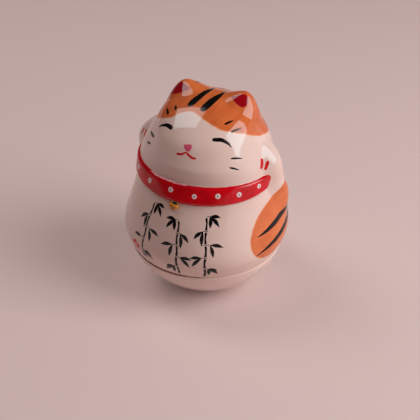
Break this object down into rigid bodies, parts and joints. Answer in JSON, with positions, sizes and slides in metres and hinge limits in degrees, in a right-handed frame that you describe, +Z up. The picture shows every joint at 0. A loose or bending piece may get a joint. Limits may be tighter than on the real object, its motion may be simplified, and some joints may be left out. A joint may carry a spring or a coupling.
{
  "type": "self-righting lucky cat figure",
  "caption": "Round-bodied glazed ceramic lucky cat with raised paws and a collar, glued on a rounded weighted bowl that rights it when it is pushed over.",
  "frame": {"origin": "middle of the foot that the figure stands on, at the bottom", "axes": "+Z up, the cat faces -Y, and its own left side is +X"},
  "size_m": [0.0602, 0.0602, 0.0772],
  "materials": {
    "body_glaze": "warm white clear glaze over hand-painted orange, black and red",
    "bowl_glaze": "warm white clear glaze, unglazed at the foot",
    "glue": "dull brown, set back in the seam",
    "cement": "matte, poured",
    "iron": "rough cast",
    "painted_black": "black brush strokes, slightly raised, under gloss",
    "painted_red": "red brush strokes, slightly raised, under gloss",
    "painted_white": "white dots, slightly raised, under gloss",
    "painted_gold": "dull gold paint on the bell"
  },
  "bodies": {
    "root": {"body_shell": "body_glaze", "base_bowl": "bowl_glaze", "seam_glue": "glue", "cement_bed": "cement", "ballast_slug": "iron"}
  },
  "joints": []
}
